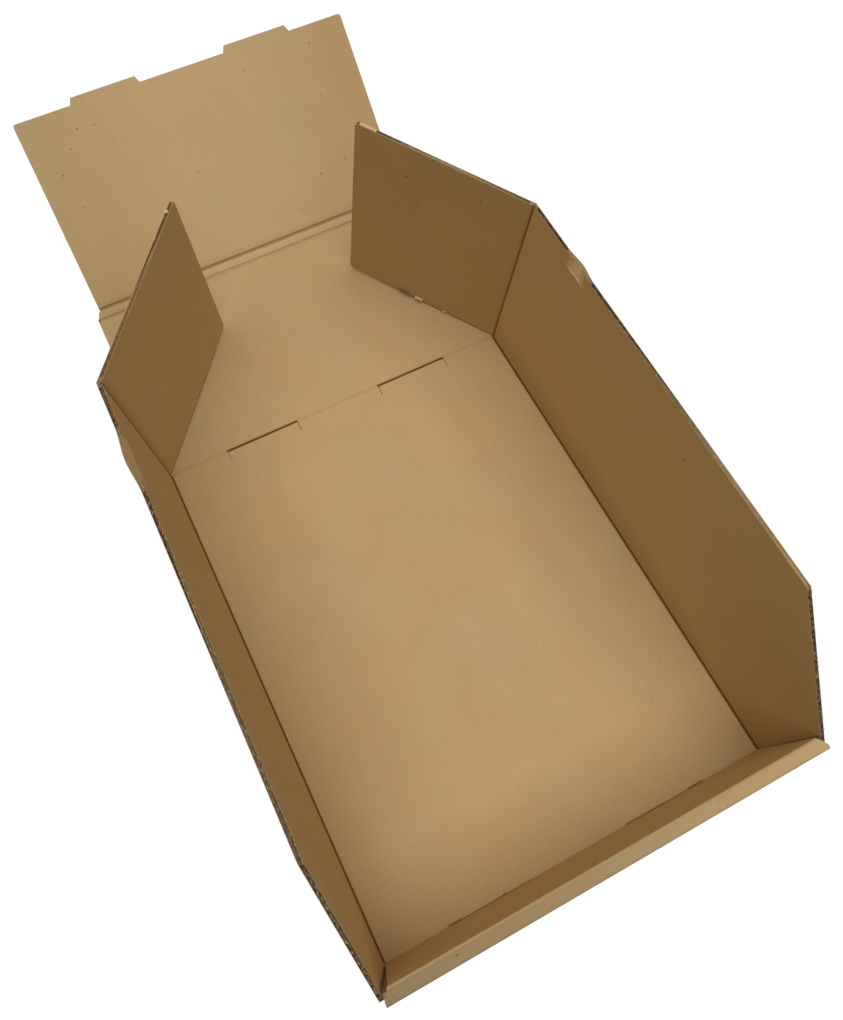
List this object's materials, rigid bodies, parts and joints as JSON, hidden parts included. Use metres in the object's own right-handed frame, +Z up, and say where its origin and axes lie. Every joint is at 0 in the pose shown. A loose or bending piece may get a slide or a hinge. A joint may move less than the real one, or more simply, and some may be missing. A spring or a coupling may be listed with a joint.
{
  "type": "cardboard storage box",
  "caption": "Open-front corrugated storage box with a rolled front lip and sloped side walls, its rear end laid open with hinged side flaps and a roll-over panel.",
  "frame": {"origin": "under the middle of the floor, midway between the front lip and the rear crease", "axes": "+X to the right seen from the open front, +Y towards the laid-open rear wall, +Z up"},
  "size_m": [0.3264, 0.7025, 0.1696],
  "materials": {
    "kraft_board": "matt kraft paper"
  },
  "bodies": {
    "tray": {"bin_body": "kraft_board"},
    "left_flap": {"left_rear_flap": "kraft_board"},
    "right_flap": {"right_rear_flap": "kraft_board"},
    "roll_strip": {"rear_roll_strip": "kraft_board"},
    "roll_panel": {"rear_inner_panel": "kraft_board"}
  },
  "joints": [
    {"name": "left_flap_fold", "type": "hinge", "parent": "tray", "child": "left_flap", "pos_m": [-0.1515, 0.193, 0.00292], "axis": [0.0523, 0, -0.9986], "range_deg": [-40, 50]},
    {"name": "right_flap_fold", "type": "hinge", "parent": "tray", "child": "right_flap", "pos_m": [0.1515, 0.193, 0.00292], "axis": [0.0523, 0, 0.9986], "range_deg": [-34, 56]},
    {"name": "roll_strip_fold", "type": "hinge", "parent": "tray", "child": "roll_strip", "pos_m": [0, 0.36, 0.0015], "axis": [1, 0, 0], "range_deg": [-19.2, 25.8]},
    {"name": "roll_panel_fold", "type": "hinge", "parent": "roll_strip", "child": "roll_panel", "pos_m": [0, 0.36907, 0.00466], "axis": [1, 0, 0], "range_deg": [-19.2, 25.8]}
  ],
  "couplings": [
    {"joint": "roll_panel_fold", "follows": "roll_strip_fold", "ratio": 1}
  ]
}
